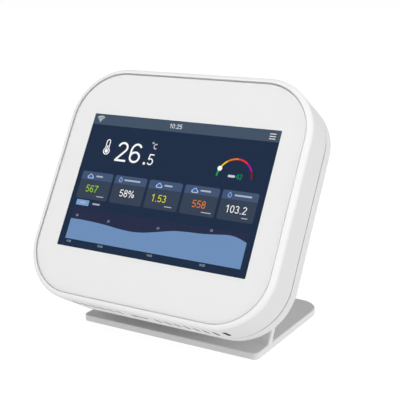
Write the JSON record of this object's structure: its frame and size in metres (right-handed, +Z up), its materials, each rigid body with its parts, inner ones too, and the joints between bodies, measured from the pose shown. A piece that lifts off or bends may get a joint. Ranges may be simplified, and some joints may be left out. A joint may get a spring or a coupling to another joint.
{
  "type": "air quality monitor",
  "caption": "Indoor air quality monitor with a glass touch screen in a rounded white case, hung by keyholes on a one-piece leaning desk stand.",
  "frame": {"origin": "on the desk, under the middle of the whole object's box", "axes": "+X across the screen to the reader's right, -Y towards the reader, +Z up"},
  "size_m": [0.1072, 0.0848, 0.1023],
  "materials": {
    "cover_glass": "polished, clear",
    "border_print": "pale grey print under glass",
    "black_tape": "matt foam tape",
    "touch_layer": "clear",
    "screen": "lit display, navy",
    "light_guide": "milky acrylic",
    "steel": "plated",
    "amber_film": "polyimide film",
    "housing_white": "fine spark-eroded texture",
    "stand_white": "fine spark-eroded texture",
    "board_green": "solder mask",
    "board_blue": "solder mask",
    "chip_black": "moulded epoxy",
    "connector_ivory": "moulded nylon",
    "shield_metal": "stamped sheet",
    "gold_plate": "gold plated",
    "sensor_black": "moulded",
    "brass": "turned",
    "foam": "closed-cell foam",
    "silicone": "translucent grey silicone"
  },
  "bodies": {
    "stand": {"stand": "stand_white", "stand_feet": "silicone"},
    "monitor": {"cover_glass": "cover_glass", "border_mask": "border_print", "glass_tape": "black_tape", "touch_sensor": "touch_layer", "lcd_panel": "screen", "lcd_backlight": "light_guide", "lcd_frame": "steel", "display_flex": "amber_film", "front_housing": "housing_white", "back_cover": "housing_white", "case_screws": "steel", "main_board": "board_green", "board_screws": "steel", "main_chips": "chip_black", "power_parts": "chip_black", "board_connectors": "connector_ivory", "power_inlet": "steel", "wifi_module": "board_blue", "wifi_shield": "shield_metal", "pressure_sensor": "shield_metal", "climate_board": "board_green", "climate_chip": "chip_black", "co2_board": "board_green", "co2_header": "chip_black", "co2_chamber": "gold_plate", "gas_board": "board_green", "gas_sensor": "shield_metal", "pm_case": "sensor_black", "pm_cover": "shield_metal", "pm_detector_board": "board_green", "pm_laser": "brass", "pm_fan_shaft": "steel", "pm_gasket": "foam", "pm_cable": "connector_ivory"},
    "fan": {"pm_fan_rotor": "sensor_black"}
  },
  "joints": [
    {"name": "monitor_lift", "type": "slide", "parent": "stand", "child": "monitor", "axis": [0, 0.5, 0.866], "range_m": [0, 0.007]},
    {"name": "fan_spin", "type": "hinge", "parent": "monitor", "child": "fan", "pos_m": [-0.024, 0.00648, 0.06972], "axis": [0, -0.866, 0.5], "continuous": true}
  ]
}
